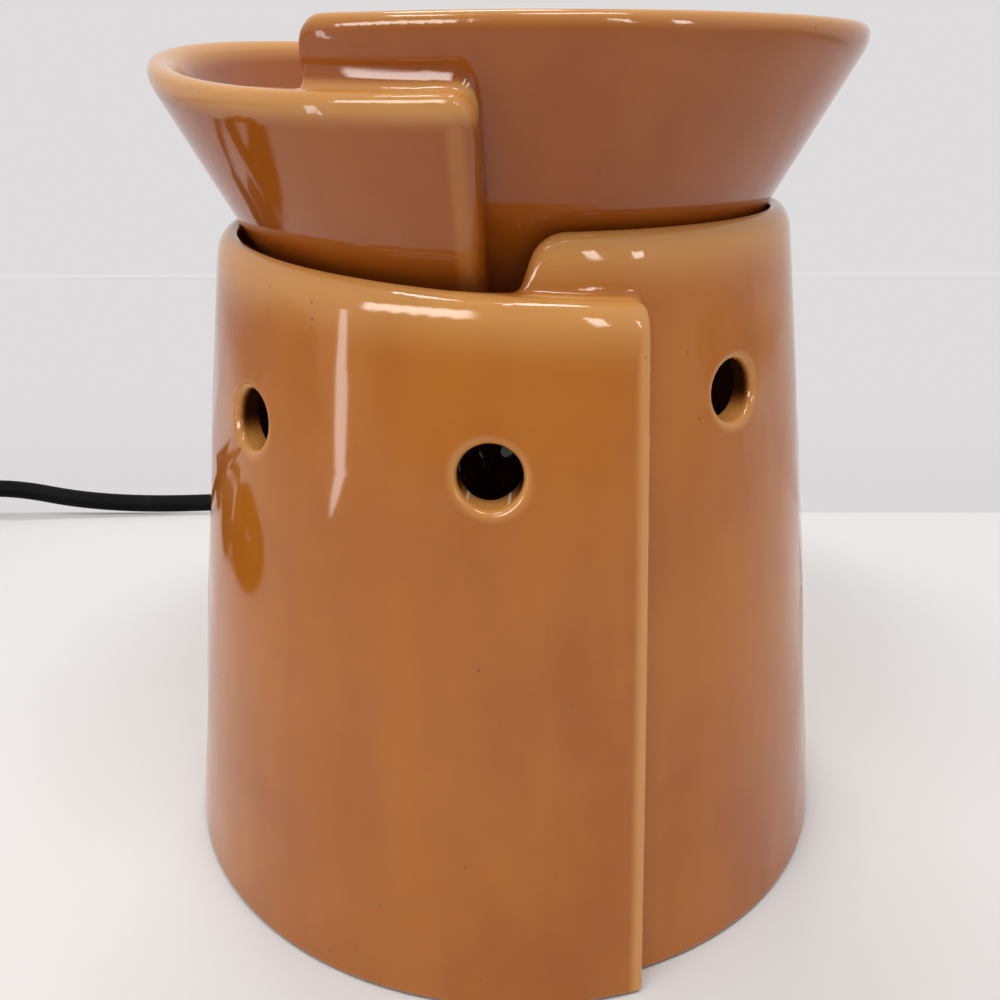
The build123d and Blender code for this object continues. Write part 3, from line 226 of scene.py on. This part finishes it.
class StudioSetup(bpy.types.PropertyGroup):
    """Camera, light and backdrop"""

    lens: FloatProperty(
        name="Lens", description="Focal length on a 36 mm sensor, in millimetres",
        default=35.667, min=10, max=200, unit="CAMERA",
    )
    eye: FloatVectorProperty(
        name="Camera", description="Place of the camera",
        subtype="TRANSLATION", size=3, default=(0.0, -0.1868, 0.1421),
    )
    pitch: FloatProperty(
        name="Pitch", description="Tilt of the camera below level",
        subtype="ANGLE", default=math.radians(22.94),
    )
    yaw: FloatProperty(
        name="Yaw", description="Turn of the camera to the right",
        subtype="ANGLE", default=math.radians(-0.655),
    )
    roll: FloatProperty(
        name="Roll", description="Roll of the camera",
        subtype="ANGLE", default=math.radians(-0.27),
    )
    table: FloatVectorProperty(
        name="Table", description="Colour of the table",
        subtype="COLOR", size=3, default=(0.78, 0.77, 0.755),
    )
    panel: FloatProperty(
        name="Panels", description="Power of each ceiling panel, in watts",
        default=3.0, min=0.0, max=50.0, unit="POWER",
    )
    ambient: FloatProperty(
        name="Ambient", description="Strength of the room's even light",
        default=0.36, min=0.0, max=2.0, subtype="FACTOR",
    )
    wall: FloatVectorProperty(
        name="Wall", description="Colour behind the table",
        subtype="COLOR", size=3, default=(0.73, 0.71, 0.715),
    )


class Value:
    """A number on a node tree. Expressions on values add Math nodes."""

    def __init__(self, finish, socket):
        self.finish = finish
        self.socket = socket

    def maths(self, operation, *terms):
        made = self.finish.node("ShaderNodeMath", {"operation": operation}, dict(enumerate(terms)))
        return Value(self.finish, made.outputs[0])

    def __add__(self, other):
        return self.maths("ADD", self, other)

    def __radd__(self, other):
        return self.maths("ADD", other, self)

    def __sub__(self, other):
        return self.maths("SUBTRACT", self, other)

    def __rsub__(self, other):
        return self.maths("SUBTRACT", other, self)

    def __mul__(self, other):
        return self.maths("MULTIPLY", self, other)

    def __rmul__(self, other):
        return self.maths("MULTIPLY", other, self)

    def __truediv__(self, other):
        return self.maths("DIVIDE", self, other)

    def __pow__(self, other):
        return self.maths("POWER", self, other)

    def root(self):
        return self.maths("SQRT", self)

    def part(self):
        return self.maths("FRACT", self)

    def largest(self, other):
        return self.maths("MAXIMUM", self, other)

    def over(self, low, high):
        """0 up to low, 1 from high on, and a smooth step between."""
        made = self.finish.node(
            "ShaderNodeMapRange",
            {"interpolation_type": "SMOOTHSTEP"},
            {"Value": self, "From Min": low, "From Max": high},
        )
        return Value(self.finish, made.outputs["Result"])


class Finish:
    """A material whose nodes are added as its surface is described."""

    def __init__(self, name):
        self.material = bpy.data.materials.new(name)
        self.material.use_nodes = True
        self.tree = self.material.node_tree
        self.tree.nodes.clear()
        self.place = self.node("ShaderNodeTexCoord").outputs["Object"]

    def node(self, kind, settings=None, values=None):
        made = self.tree.nodes.new(kind)
        for key, value in (settings or {}).items():
            setattr(made, key, value)
        for key, value in (values or {}).items():
            self.feed(made.inputs[key], value)
        return made

    def feed(self, socket, value):
        if isinstance(value, Value):
            value = value.socket
        if isinstance(value, bpy.types.NodeSocket):
            self.tree.links.new(value, socket)
        elif socket.type == "RGBA" and len(value) == 3:
            socket.default_value = (*value, 1.0)
        else:
            socket.default_value = value

    def axes(self):
        made = self.node("ShaderNodeSeparateXYZ", values={0: self.place})
        return [Value(self, socket) for socket in made.outputs]

    def stretched(self, scale):
        values = {"Vector": self.place, "Scale": scale}
        return self.node("ShaderNodeMapping", {"vector_type": "POINT"}, values).outputs[0]

    def noise(self, scale, detail=2.0, rough=0.5, place=None):
        made = self.node(
            "ShaderNodeTexNoise",
            values={"Vector": place or self.place, "Scale": scale, "Detail": detail, "Roughness": rough},
        )
        return Value(self, made.outputs[0])

    def cells(self, scale):
        made = self.node("ShaderNodeTexVoronoi", values={"Vector": self.place, "Scale": scale})
        return Value(self, made.outputs["Distance"]), made.outputs["Color"]

    def blend(self, factor, first, second):
        """A colour between two others. The node's colour sockets have no names of their own."""
        made = self.node("ShaderNodeMix", {"data_type": "RGBA"}, {"Factor": factor, 6: first, 7: second})
        return made.outputs[2]

    def bump(self, height, strength, distance):
        values = {"Height": height, "Strength": strength, "Distance": distance}
        return self.node("ShaderNodeBump", values=values).outputs[0]

    def glow(self, tone, strength):
        """A surface that only shines."""
        return self.surface(
            base_color=BLACK, specular_ior_level=0.0, emission_color=tone, emission_strength=strength
        )

    def surface(self, **sockets):
        """The finished material. A socket's name is written in small letters."""
        shader = self.node("ShaderNodeBsdfPrincipled", values={
            name.replace("_", " ").title().replace("Ior", "IOR"): value for name, value in sockets.items()
        })
        output = self.node("ShaderNodeOutputMaterial")
        self.tree.links.new(shader.outputs[0], output.inputs["Surface"])
        return self.material


def wear(obj, material):
    """Give a CAD node or a new piece its finish."""
    obj.data.materials.clear()
    obj.data.materials.append(material)


def shade(colour, share):
    """A colour made darker or lighter."""
    return tuple(share * part for part in colour)


def sheet_edges(sheet, axes):
    """Mask of a rolled sheet's end and rims, thin glaze partly painted as light, and the values at each
    place that other masks need.
    """
    x, y, z = axes
    radius = (x * x + y * y).root()
    azimuth = x.maths("ARCTAN2", x, 0.0 - y)
    seam = sheet["lean"] * z / radius + math.radians(sheet["seam"])
    turn = ((seam - azimuth) / math.tau + 1.0).part()
    rim = sheet["low"] + sheet["rise"] * (1.0 - (1.0 - turn ** sheet["bend"]) ** sheet["power"])
    along = turn * math.tau * radius
    # The end's strip: thin glaze, with a painted reflection on its rounded edge
    start, full, fading, gone = sheet["end_thin_and_lit"]
    end = along.over(start, full) * (1.0 - along.over(fading, gone))
    outside = sheet["radius"] + sheet["slope"] * z + sheet["step"] * (0.5 - turn)
    outer_layer = (radius - outside + LAYER_SHARE * sheet["step"]).over(*LAYER_EDGE)
    outer_layer = outer_layer * (1.0 - (z - rim).over(*LAYER_TOP))
    # Below the rim: thin glaze, with painted light on the lip lit from above
    rim_edge = (z - rim + sheet["deeper"] * (1.0 - turn)).over(*sheet["rim_thin_and_lit"])
    crest = (z - (sheet["low"] + sheet["rise"])).over(*sheet["rim_thin_and_lit"])
    edge = ((sheet["thin"] * end).largest(rim_edge) * outer_layer).largest(crest)
    return edge, rim, radius, azimuth, outside - radius


def glaze(name, look, sheet, vents, usual, pooled):
    """Glossy caramel glaze: thin and light on edges, partly as painted light and a painted reflection,
    thick and dark at random and towards the bottom, with painted shade inside the vents and small pinholes.
    """
    finish = Finish(name)
    x, y, z = finish.axes()
    edge, rim, radius, azimuth, inward = sheet_edges(sheet, (x, y, z))
    shaded = 0.0
    if vents:
        spacing = math.tau / VENT_COUNT
        around = (azimuth - math.radians(VENT_AZIMUTH)) / spacing + 0.5 + VENT_COUNT
        aside = (around.part() - 0.5) * spacing * radius
        above = z - rim + VENT_BELOW_RIM
        reach = (aside * aside + above * above).root()
        # Painted shade inside each vent, fading out towards its bottom; there and on the lip the light
        # thin-glaze colour stays as painted light
        throat = inward.over(*THROAT_DEPTH) * (1.0 - reach.over(*THROAT_SIDE))
        shaded = throat * above.over(*THROAT_RISE)
        lip = LIP_THIN_AND_LIT - LIP_THIN_AND_LIT * reach.over(*LIP_SIDE)
        edge = edge.largest(lip * (1.0 - shaded))
    cloud = finish.noise(scale=26.0, detail=3.0, rough=0.55)
    runs = finish.noise(scale=1.0, place=finish.stretched((130.0, 130.0, 16.0)))
    grain = finish.noise(scale=420.0, detail=3.0, rough=0.6)
    low = 1.0 - z.over(0.0, sheet["low"])
    thick = (cloud * 0.7 + runs * 0.3).over(0.36, 0.70) * 0.7 + low * 0.3
    body = finish.blend(thick, usual, pooled)
    # Edges in the thin colour: thin glaze over edges, with painted light on the lips and a painted
    # reflection on the seam's end
    thin_and_lit = edge * (0.65 + 0.3 * grain + 0.3 * cloud)
    body = finish.blend(thin_and_lit * 0.9, body, look.thin)
    body = finish.blend((grain - 0.5) * 0.22 + 0.11, body, pooled)
    spot, tint = finish.cells(scale=420.0)
    chance = Value(finish, finish.node("ShaderNodeSeparateColor", values={0: tint}).outputs[0])
    pinhole = (1.0 - spot.over(0.05, 0.12)) * chance.over(0.94, 0.95)
    body = finish.blend(pinhole * 0.7, body, PINHOLE)
    # Painted shade inside the vents
    body = finish.blend(shaded, body, VENT_PAINTED_SHADE)
    smear = finish.noise(scale=60.0, detail=4.0, rough=0.65)
    rough = look.gloss + smear.over(0.5, 0.8) * 0.06 + pinhole * 0.3
    waves = finish.noise(scale=20.0, detail=1.0, rough=0.4) + grain * 0.004 - pinhole * 0.02
    return finish.surface(
        base_color=body,
        roughness=rough,
        ior=1.5,
        specular_ior_level=0.5,
        normal=finish.bump(waves, strength=look.ripple, distance=1.5 * MM),
    )


def moulded(name, colour, rough=0.42, shine=0.5):
    """Fine-textured moulded plastic or rubber."""
    finish = Finish(name)
    grain = finish.noise(scale=2600.0, rough=0.6)
    dust = finish.noise(scale=90.0, detail=4.0, rough=0.6)
    dusty = tuple(0.6 * part + 0.02 for part in colour)
    tone = finish.blend(dust.over(0.45, 0.8) * 0.35, colour, dusty)
    return finish.surface(
        base_color=tone,
        roughness=rough + (grain - 0.5) * 0.16 + dust.over(0.5, 0.8) * 0.08,
        specular_ior_level=shine,
        normal=finish.bump(grain, strength=0.35, distance=0.08 * MM),
    )


def rolled_metal(name, colour, rough, stretch=(60.0, 1400.0, 1400.0), tarnish=(0.5, 0.5, 0.5)):
    """Bare metal with drawn lines and a little tarnish."""
    finish = Finish(name)
    lines = finish.noise(scale=1.0, detail=3.0, rough=0.6, place=finish.stretched(stretch))
    stain = finish.noise(scale=120.0, detail=4.0, rough=0.6)
    dull = tuple(part * share for part, share in zip(colour, tarnish))
    return finish.surface(
        base_color=finish.blend(stain.over(0.48, 0.75) * 0.5, colour, dull),
        metallic=1.0,
        roughness=rough + (lines - 0.5) * 0.22 + stain.over(0.5, 0.8) * 0.12,
        normal=finish.bump(lines, strength=0.12, distance=0.05 * MM),
    )


def porcelain(name):
    """Unglazed white porcelain, a little stained."""
    finish = Finish(name)
    grain = finish.noise(scale=900.0, detail=3.0, rough=0.6)
    stain = finish.noise(scale=70.0, detail=4.0, rough=0.6)
    return finish.surface(
        base_color=finish.blend(stain.over(0.5, 0.8) * 0.4, PORCELAIN, PORCELAIN_STAIN),
        roughness=0.35 + grain * 0.2,
        normal=finish.bump(grain, strength=0.15, distance=0.1 * MM),
    )


def clear_glass(name):
    """Clear glass with a trace of dust."""
    finish = Finish(name)
    dust = finish.noise(scale=60.0, detail=4.0, rough=0.6)
    return finish.surface(
        base_color=CLEAR_GLASS,
        transmission_weight=1.0,
        ior=1.45,
        roughness=dust.over(0.55, 0.85) * 0.05,
    )


class WARMER_OT_ceramic(bpy.types.Operator):
    """Glaze the body and the dish"""

    bl_idname = "warmer.ceramic"
    bl_label = "Glaze the ceramic"

    def execute(self, context):
        look = context.scene.warmer_glaze
        wear(nodes["body_shell"], glaze("body_glaze", look, BODY_SHEET, True, look.colour, look.pooled))
        wear(nodes["dish"], glaze("dish_glaze", look, DISH_SHEET, False, look.pooled, look.deep))
        return {"FINISHED"}


class WARMER_OT_base(bpy.types.Operator):
    """Finish the base plate, feet, crossbar and screws"""

    bl_idname = "warmer.base"
    bl_label = "Finish the base"

    def execute(self, context):
        plated = rolled_metal("plated_steel", STEEL, rough=0.34)
        on_base = ("base_plate", "crossbar", "clamp_screws", "threaded_nipple")
        for name in (*on_base, "switch_axle", "switch_screws"):
            wear(nodes[name], plated)
        wear(nodes["rubber_feet"], moulded("foot_rubber", RUBBER, rough=0.7))
        return {"FINISHED"}


class WARMER_OT_lamp(bpy.types.Operator):
    """Finish the lamp, its holder and the leads"""

    bl_idname = "warmer.lamp"
    bl_label = "Finish the lamp"

    def execute(self, context):
        wear(nodes["lamp_holder"], porcelain("holder_porcelain"))
        drawn = (900.0, 900.0, 120.0)
        brass = rolled_metal("brass", BRASS, rough=0.3, stretch=drawn, tarnish=BRASS_TARNISH)
        for name in ("screw_shell", "centre_contact", "terminal_screws", "nipple_nut", "plug_blades"):
            wear(nodes[name], brass)
        cap = rolled_metal("cap_aluminium", ALUMINIUM, rough=0.28, stretch=(200.0, 200.0, 1600.0))
        wear(nodes["bulb_cap"], cap)
        tinned = rolled_metal("tinned_wire", TIN, rough=0.4)
        for name in ("bulb_tip", "bulb_supports"):
            wear(nodes[name], tinned)
        wear(nodes["bulb_filament"], rolled_metal("tungsten", TUNGSTEN, rough=0.5))
        glass = clear_glass("bulb_glass")
        for name in ("bulb_glass", "bulb_stem"):
            wear(nodes[name], glass)
        wear(nodes["bulb_insulator"], moulded("insulator_glass", BLACK_GLASS, rough=0.18))
        wear(nodes["lead_live"], moulded("black_insulation", BLACK_INSULATION, rough=0.45))
        wear(nodes["lead_neutral"], moulded("white_insulation", WHITE_INSULATION, rough=0.45))
        return {"FINISHED"}


def half_turn(start_x, way, radius, low, high):
    """Points of half a turn of the coil, from its start up to but not at its end."""
    fuller = radius * 2 / (1 + math.cos(math.pi / (2 * COIL_POINTS)))
    middle = start_x + way * radius
    points = []
    for step in range(COIL_POINTS):
        share = (step + 0.5) / COIL_POINTS
        angle = math.pi * share
        points.append((
            middle - way * fuller * math.cos(angle),
            COIL_MIDDLE[1] - way * fuller * math.sin(angle),
            low + (high - low) * share,
        ))
    return points


def coil_points():
    """The coil's turns: in along the table, up in the middle and out again on top."""
    x = COIL_MIDDLE[0] - COIL_RADIUS
    way = 1
    points = []
    radii = [COIL_RADIUS - half * COIL_PITCH / 2 for half in range(COIL_HALF_TURNS + 1)]
    for radius in radii[:-1]:
        points += half_turn(x, way, radius, COIL_LOW, COIL_LOW)
        x += 2 * way * radius
        way = -way
    points += half_turn(x, way, radii[-1], COIL_LOW, COIL_HIGH)
    x += 2 * way * radii[-1]
    way = -way
    for radius in reversed(radii[:-1]):
        points += half_turn(x, way, radius, COIL_HIGH, COIL_HIGH)
        x += 2 * way * radius
        way = -way
    return points + [(x, COIL_MIDDLE[1], COIL_HIGH), (x, COIL_MIDDLE[1] + COIL_LEAD, COIL_HIGH)]


class WARMER_OT_cord(bpy.types.Operator):
    """Lay the cord and finish the switch, the plug and the strain relief"""

    bl_idname = "warmer.cord"
    bl_label = "Lay the cord"

    def execute(self, context):
        look = context.scene.warmer_cord
        curve = bpy.data.curves.new("power_cord", "CURVE")
        curve.dimensions = "3D"
        curve.bevel_depth = look.thickness / 2
        curve.bevel_resolution = 5
        curve.resolution_u = 6
        curve.use_fill_caps = True
        points = [*CORD_ROUTE, *coil_points(), PLUG_END]
        spline = curve.splines.new("NURBS")
        spline.points.add(len(points) - 1)
        for point, place in zip(spline.points, points):
            point.co = (*place, 1.0)
        spline.order_u = 3
        spline.use_endpoint_u = True
        cord = bpy.data.objects.new("power_cord", curve)
        context.scene.collection.objects.link(cord)
        jacket = moulded("cord_jacket", look.jacket, rough=0.55, shine=0.06)
        wear(cord, jacket)
        wear(nodes["cord_tail"], jacket)
        plastic = moulded("black_moulding", look.plastic, rough=0.45, shine=0.3)
        on_cord = ["switch_lower", "switch_upper", "switch_wheel", "plug_body", "cord_tie", "strain_relief"]
        for name in on_cord:
            wear(nodes[name], plastic)
        on_cord += ["switch_axle", "switch_screws", "plug_blades"]
        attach(cord, BODY)
        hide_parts("cord_stretch", "cord_link", "cord_coil", "cord_end")
        return {"FINISHED"}


def area_light(context, name, place, target, size, power, shape):
    """A white light that lies at a place and faces a target, unseen itself."""
    data = bpy.data.lights.new(name, "AREA")
    data.shape = shape
    data.size, data.size_y = size
    data.energy = power
    light = bpy.data.objects.new(name, data)
    light.location = place
    aim = Vector(target) - Vector(place)
    light.rotation_euler = aim.to_track_quat("-Z", "Y").to_euler()
    light.visible_camera = False
    context.scene.collection.objects.link(light)


def table_top(context, look):
    """A pale table. Beyond its back edge the wall is painted on, evenly lit but for a painted shade at its
    foot.
    """
    shape = bmesh.new()
    bmesh.ops.create_grid(shape, x_segments=1, y_segments=1, size=TABLE_HALF)
    mesh = bpy.data.meshes.new("table_top")
    shape.to_mesh(mesh)
    shape.free()
    table = bpy.data.objects.new("table_top", mesh)
    context.scene.collection.objects.link(table)
    finish = Finish("table_paint")
    x, y, z = finish.axes()
    beyond = y.over(*TABLE_EDGE).largest((x * x + y * y).root().over(*TABLE_AROUND))
    joint = y.over(*WALL_JOINT[:2]) * (1.0 - y.over(*WALL_JOINT[2:]))
    wall = finish.blend(joint, look.wall, shade(look.wall, 1.06))
    # Painted shade on the wall near its foot
    wall = finish.blend(y.over(*WALL_FOOT_SHADE), shade(look.wall, 0.97), wall)
    aside = (x * x).root().over(*WALL_ASIDE) * (1.0 - y.over(*WALL_ASIDE_TO))
    wall = finish.blend(aside, wall, shade(look.wall, 0.6))
    soil = finish.noise(scale=9.0, detail=4.0, rough=0.6)
    tone = finish.blend(soil.over(0.5, 0.85) * 0.12, look.table, shade(look.table, 0.85))
    wear(table, finish.surface(
        base_color=finish.blend(beyond, tone, BLACK),
        roughness=0.6,
        specular_ior_level=0.0,
        emission_color=finish.blend(beyond, BLACK, wall),
        emission_strength=1.0,
    ))


def room_light(context, look):
    """An even pale room, seen as the wall's colour and a little dimmer as light."""
    world = bpy.data.worlds.new("pale_room")
    context.scene.world = world
    world.use_nodes = True
    tree = world.node_tree
    tree.nodes.clear()
    path = tree.nodes.new("ShaderNodeLightPath")
    seen = None
    for ray in ("Is Camera Ray", "Is Glossy Ray", "Is Transmission Ray"):
        either = tree.nodes.new("ShaderNodeMath")
        either.operation = "MAXIMUM"
        tree.links.new(path.outputs[ray], either.inputs[0])
        if seen:
            tree.links.new(seen, either.inputs[1])
        seen = either.outputs[0]
    wall = tree.nodes.new("ShaderNodeBackground")
    wall.inputs["Color"].default_value = (*look.wall, 1.0)
    fill = tree.nodes.new("ShaderNodeBackground")
    fill.inputs["Color"].default_value = (*FILL_TONE, 1.0)
    fill.inputs["Strength"].default_value = look.ambient
    choice = tree.nodes.new("ShaderNodeMixShader")
    output = tree.nodes.new("ShaderNodeOutputWorld")
    tree.links.new(seen, choice.inputs[0])
    tree.links.new(fill.outputs[0], choice.inputs[1])
    tree.links.new(wall.outputs[0], choice.inputs[2])
    tree.links.new(choice.outputs[0], output.inputs["Surface"])


def reflected_card(context, name, place, width, height):
    """An upright card in front that shows only in reflections."""
    shape = bmesh.new()
    upright = Matrix.Rotation(math.pi / 2, 4, "X")
    stretch = Matrix.Diagonal((width / 2, 1.0, height / 2, 1.0))
    bmesh.ops.create_grid(
        shape, x_segments=1, y_segments=1, size=1.0, matrix=Matrix.Translation(place) @ stretch @ upright
    )
    mesh = bpy.data.meshes.new(name)
    shape.to_mesh(mesh)
    shape.free()
    card = bpy.data.objects.new(name, mesh)
    card.visible_camera = False
    card.visible_shadow = False
    card.visible_diffuse = False
    card.visible_transmission = False
    context.scene.collection.objects.link(card)
    return card


def front_lamps(context):
    """Rows of bright lamps in front and above, which the rounded rims reflect as short lines."""
    for name, place, width, height in FRONT_LAMPS:
        finish = Finish(f"glow_{name}")
        x, y, z = finish.axes()
        across = (x - place[0]) * (2 / width)
        upward = (z - place[2]) * (2 / height)
        bright = (1.0 - (across * across).over(*LAMP_ENDS)) * (1.0 - (upward * upward).over(*LAMP_SIDES))
        tone = finish.blend(bright, shade(DIM_TONE, 1 / LAMP_GLOW), LAMP_TONE)
        lamp = reflected_card(context, f"front_lamp_{name}", place, width, height)
        wear(lamp, finish.glow(tone, LAMP_GLOW))


def dim_side(context, look):
    """The dim side of the room behind the camera, which fades out at its sides."""
    card = reflected_card(context, "dim_side", DIM_PLACE, DIM_WIDTH, DIM_HEIGHT)
    finish = Finish("dim_cloth")
    x, y, z = finish.axes()
    across = x.over(*DIM_LEFT) * (1.0 - x.over(*DIM_RIGHT))
    middle = across * z.over(*DIM_LOW) * (1.0 - z.over(*DIM_HIGH))
    wear(card, finish.glow(finish.blend(middle, look.wall, DIM_TONE), 1.0))


class WARMER_OT_studio(bpy.types.Operator):
    """Set up the table, the lights and the camera"""

    bl_idname = "warmer.studio"
    bl_label = "Set up the studio"

    def execute(self, context):
        look = context.scene.warmer_studio
        table_top(context, look)
        room_light(context, look)
        dim_side(context, look)
        front_lamps(context)
        for name, place in PANELS:
            area_light(context, f"ceiling_{name}", place, PANEL_AIM, PANEL_SIZE, look.panel, "RECTANGLE")
        area_light(context, "side_strip", STRIP_PLACE, STRIP_AIM, STRIP_SIZE, STRIP_POWER, "ELLIPSE")
        camera = bpy.data.objects.new("camera", bpy.data.cameras.new("camera"))
        camera.data.sensor_width = 36.0
        camera.data.lens = look.lens
        camera.data.clip_start = 0.01
        ahead = Vector((
            math.sin(look.yaw) * math.cos(look.pitch),
            math.cos(look.yaw) * math.cos(look.pitch),
            -math.sin(look.pitch),
        ))
        level = Vector((math.cos(look.yaw), -math.sin(look.yaw), 0))
        above = level.cross(ahead)
        right = level * math.cos(look.roll) + above * math.sin(look.roll)
        up = above * math.cos(look.roll) - level * math.sin(look.roll)
        facing = Matrix((right, up, -ahead)).transposed().to_4x4()
        camera.matrix_world = Matrix.Translation(look.eye) @ facing
        context.scene.collection.objects.link(camera)
        context.scene.camera = camera
        context.scene.view_settings.view_transform = "Standard"
        return {"FINISHED"}


class WARMER_PT_pieces(bpy.types.Panel):
    """The warmer's pieces and their settings"""

    bl_label = "Wax Melt Warmer"
    bl_idname = "WARMER_PT_pieces"
    bl_space_type = "VIEW_3D"
    bl_region_type = "UI"
    bl_category = "Warmer"

    def draw(self, context):
        scene = context.scene
        for group in (scene.warmer_glaze, scene.warmer_cord, scene.warmer_studio):
            for name in group.__annotations__:
                self.layout.prop(group, name)
        for operator in OPERATORS:
            self.layout.operator(operator.bl_idname)


GROUPS = {"warmer_glaze": GlazeFinish, "warmer_cord": CordFinish, "warmer_studio": StudioSetup}
OPERATORS = (WARMER_OT_cord, WARMER_OT_ceramic, WARMER_OT_base, WARMER_OT_lamp, WARMER_OT_studio)


def register():
    for group in GROUPS.values():
        bpy.utils.register_class(group)
    for operator in OPERATORS:
        bpy.utils.register_class(operator)
    bpy.utils.register_class(WARMER_PT_pieces)
    for name, group in GROUPS.items():
        setattr(bpy.types.Scene, name, PointerProperty(type=group))


def unregister():
    for name in GROUPS:
        delattr(bpy.types.Scene, name)
    bpy.utils.unregister_class(WARMER_PT_pieces)
    for operator in reversed(OPERATORS):
        bpy.utils.unregister_class(operator)
    for group in reversed(GROUPS.values()):
        bpy.utils.unregister_class(group)


def main():
    register()
    bpy.ops.warmer.cord()
    bpy.ops.warmer.ceramic()
    bpy.ops.warmer.base()
    bpy.ops.warmer.lamp()
    bpy.ops.warmer.studio()


if __name__ == "__main__":
    main()
